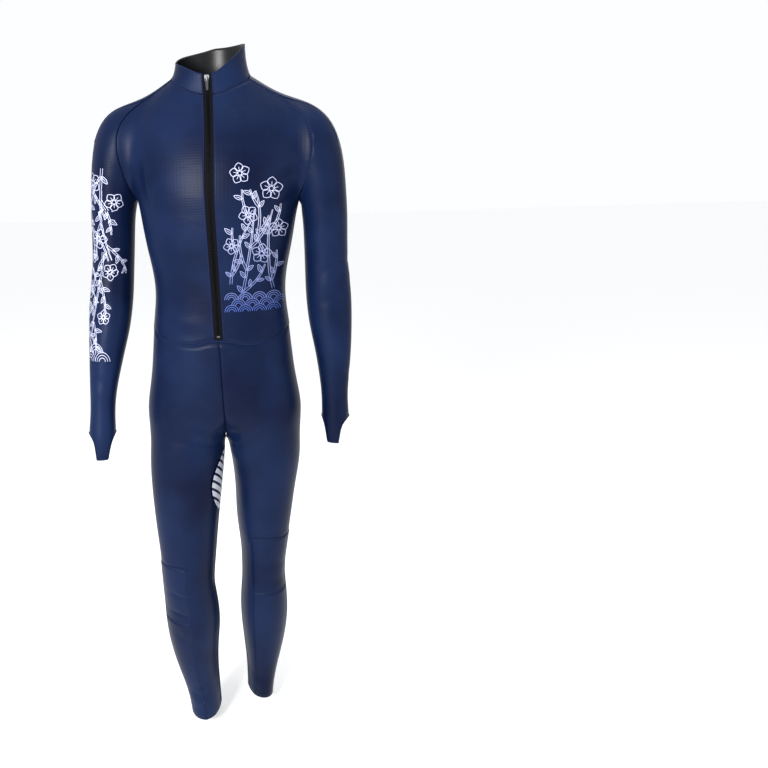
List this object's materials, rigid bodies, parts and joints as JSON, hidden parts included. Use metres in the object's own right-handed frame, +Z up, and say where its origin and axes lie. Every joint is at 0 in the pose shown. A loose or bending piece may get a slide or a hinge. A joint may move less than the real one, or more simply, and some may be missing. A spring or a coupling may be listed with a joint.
{
  "type": "speed skating suit",
  "caption": "Skin-tight one-piece skating suit with stand collar, front zip, long sleeves ending in hand tongues and long legs with knee panels.",
  "frame": {"origin": "on the body's axis in the neck opening, where the wearer carries the suit", "axes": "+Z up along the standing suit, -Y out of its front, +X towards the wearer's left"},
  "size_m": [0.5515, 0.2376, 1.4676],
  "materials": {
    "stretch_cloth": "satin stretch knit",
    "zip_tape": "matt woven tape",
    "slick_patch": "smooth coated cloth",
    "zip_metal": "bright",
    "pull_metal": "satin"
  },
  "bodies": {
    "suit": {"front_left": "stretch_cloth", "front_right": "stretch_cloth", "back": "stretch_cloth", "collar": "stretch_cloth", "sleeve_left": "stretch_cloth", "sleeve_right": "stretch_cloth", "leg_front_left": "stretch_cloth", "leg_front_right": "stretch_cloth", "leg_back_left": "stretch_cloth", "leg_back_right": "stretch_cloth", "knee_left": "stretch_cloth", "knee_right": "stretch_cloth", "shin_left": "stretch_cloth", "shin_right": "stretch_cloth", "zip_tape_left": "zip_tape", "zip_tape_right": "zip_tape", "thigh_patch": "slick_patch", "slider": "zip_metal", "zip_stop": "zip_metal"},
    "pull_tab": {"pull": "pull_metal"}
  },
  "joints": [
    {"name": "pull_hinge", "type": "hinge", "parent": "suit", "child": "pull_tab", "pos_m": [-0.01413, -0.06307, -0.00013], "axis": [-0.9896, 0.1425, -0.0221], "range_deg": [0, 150]}
  ]
}
